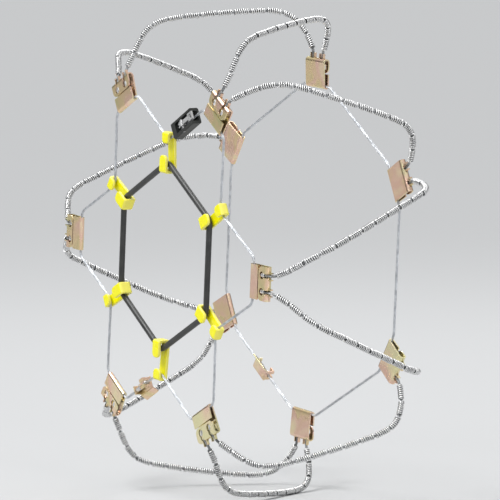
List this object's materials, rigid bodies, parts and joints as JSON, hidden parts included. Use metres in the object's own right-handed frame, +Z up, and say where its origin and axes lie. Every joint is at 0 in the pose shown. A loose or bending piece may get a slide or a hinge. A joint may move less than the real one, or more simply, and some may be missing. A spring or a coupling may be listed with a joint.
{
  "type": "tire snow chain",
  "caption": "Cable-type tire snow chain: coil-sleeved tread cables zigzag between two cable hoops, pulled tight by a rubber ring with hooks.",
  "frame": {"origin": "centre of the wheel the chain is fitted on, midway through the tyre's width", "axes": "wheel axle along Y, outer face of the wheel towards -Y, +Z up"},
  "size_m": [0.6128, 0.2339, 0.613],
  "materials": {
    "side_cable": "galvanised twisted strand",
    "core_cable": "galvanised twisted strand",
    "coil_steel": "bright zinc plated spring wire",
    "button_steel": "zinc plated",
    "chromate_sheet": "yellow chromate plated steel sheet, faint iridescence",
    "yellow_plastic": "glossy moulded lemon yellow",
    "ring_rubber": "smooth charcoal cord",
    "black_plastic": "moulded, fine texture",
    "cast_alloy": "die cast, satin"
  },
  "bodies": {
    "net": {"outer_side_cable": "side_cable", "inner_side_cable": "side_cable", "outer_bracket_1": "chromate_sheet", "inner_bracket_1": "chromate_sheet", "outer_bracket_2": "chromate_sheet", "inner_bracket_2": "chromate_sheet", "outer_bracket_3": "chromate_sheet", "inner_bracket_3": "chromate_sheet", "outer_bracket_4": "chromate_sheet", "inner_bracket_4": "chromate_sheet", "outer_bracket_5": "chromate_sheet", "inner_bracket_5": "chromate_sheet", "outer_bracket_6": "chromate_sheet", "inner_bracket_6": "chromate_sheet", "tread_cable_1": "core_cable", "traction_coils_1": "coil_steel", "tread_cable_2": "core_cable", "traction_coils_2": "coil_steel", "tread_cable_3": "core_cable", "traction_coils_3": "coil_steel", "tread_cable_4": "core_cable", "traction_coils_4": "coil_steel", "tread_cable_5": "core_cable", "traction_coils_5": "coil_steel", "tread_cable_6": "core_cable", "traction_coils_6": "coil_steel", "tread_cable_7": "core_cable", "traction_coils_7": "coil_steel", "tread_cable_8": "core_cable", "traction_coils_8": "coil_steel", "tread_cable_9": "core_cable", "traction_coils_9": "coil_steel", "tread_cable_10": "core_cable", "traction_coils_10": "coil_steel", "tread_cable_11": "core_cable", "traction_coils_11": "coil_steel", "tread_cable_12": "core_cable", "traction_coils_12": "coil_steel", "outer_cable_buttons": "button_steel", "inner_cable_buttons": "button_steel", "outer_fastener_ends": "button_steel", "inner_fastener_ends": "button_steel"},
    "tension_ring": {"tension_ring": "ring_rubber"},
    "hook_1": {"tension_hook_1": "yellow_plastic"},
    "hook_2": {"tension_hook_2": "yellow_plastic"},
    "hook_3": {"tension_hook_3": "yellow_plastic"},
    "hook_4": {"tension_hook_4": "yellow_plastic"},
    "hook_5": {"tension_hook_5": "yellow_plastic"},
    "hook_6": {"tension_hook_6": "yellow_plastic"},
    "cam_lock": {"cam_lock_body": "black_plastic", "cam_lock_cap": "black_plastic", "cam_pin": "button_steel", "cam_spring": "button_steel"},
    "cam_lever": {"cam_lever": "cast_alloy"},
    "outer_fastener": {"outer_fastener_plate": "chromate_sheet"},
    "inner_fastener": {"inner_fastener_plate": "chromate_sheet"}
  },
  "joints": [
    {"name": "ring_pull", "type": "slide", "parent": "net", "child": "tension_ring", "axis": [0, -1, 0], "range_m": [0, 0.008], "stiffness_N_per_m": 900},
    {"name": "hook_1_swing", "type": "hinge", "parent": "net", "child": "hook_1", "pos_m": [0.13426, -0.1165, 0.06462], "axis": [-0.4337, 0, 0.9011], "range_deg": [0, 14]},
    {"name": "hook_2_swing", "type": "hinge", "parent": "net", "child": "hook_2", "pos_m": [0.01117, -0.1165, 0.14858], "axis": [-0.9972, 0, 0.075], "range_deg": [0, 14]},
    {"name": "hook_3_swing", "type": "hinge", "parent": "net", "child": "hook_3", "pos_m": [-0.12309, -0.1165, 0.08396], "axis": [-0.5635, 0, -0.8261], "range_deg": [0, 14]},
    {"name": "hook_4_swing", "type": "hinge", "parent": "net", "child": "hook_4", "pos_m": [-0.13426, -0.1165, -0.06462], "axis": [0.4337, 0, -0.9011], "range_deg": [0, 14]},
    {"name": "hook_5_swing", "type": "hinge", "parent": "net", "child": "hook_5", "pos_m": [-0.01117, -0.1165, -0.14858], "axis": [0.9972, 0, -0.075], "range_deg": [0, 14]},
    {"name": "hook_6_swing", "type": "hinge", "parent": "net", "child": "hook_6", "pos_m": [0.12309, -0.1165, -0.08396], "axis": [0.5635, 0, 0.8261], "range_deg": [0, 14]},
    {"name": "lock_travel", "type": "slide", "parent": "net", "child": "cam_lock", "axis": [0.8926, 0, 0.4509], "range_m": [-0.006, 0.006]},
    {"name": "lever_lift", "type": "hinge", "parent": "cam_lock", "child": "cam_lever", "pos_m": [0.05373, -0.1227, 0.16719], "axis": [0.4509, 0, -0.8926], "range_deg": [0, 40], "stiffness_Nm_per_rad": 0.02},
    {"name": "outer_fastener_swivel", "type": "hinge", "parent": "net", "child": "outer_fastener", "pos_m": [-0.05463, -0.1165, -0.16764], "axis": [0.8926, 0, 0.4509], "range_deg": [-20, 20]},
    {"name": "inner_fastener_swivel", "type": "hinge", "parent": "net", "child": "inner_fastener", "pos_m": [-0.11052, 0.1, -0.16202], "axis": [0.8261, 0, -0.5635], "range_deg": [-20, 20]}
  ],
  "couplings": [
    {"joint": "hook_1_swing", "follows": "ring_pull", "rad_per_m": 30.303},
    {"joint": "hook_2_swing", "follows": "ring_pull", "rad_per_m": 30.303},
    {"joint": "hook_3_swing", "follows": "ring_pull", "rad_per_m": 30.303},
    {"joint": "hook_4_swing", "follows": "ring_pull", "rad_per_m": 30.303},
    {"joint": "hook_5_swing", "follows": "ring_pull", "rad_per_m": 30.303},
    {"joint": "hook_6_swing", "follows": "ring_pull", "rad_per_m": 30.303}
  ]
}
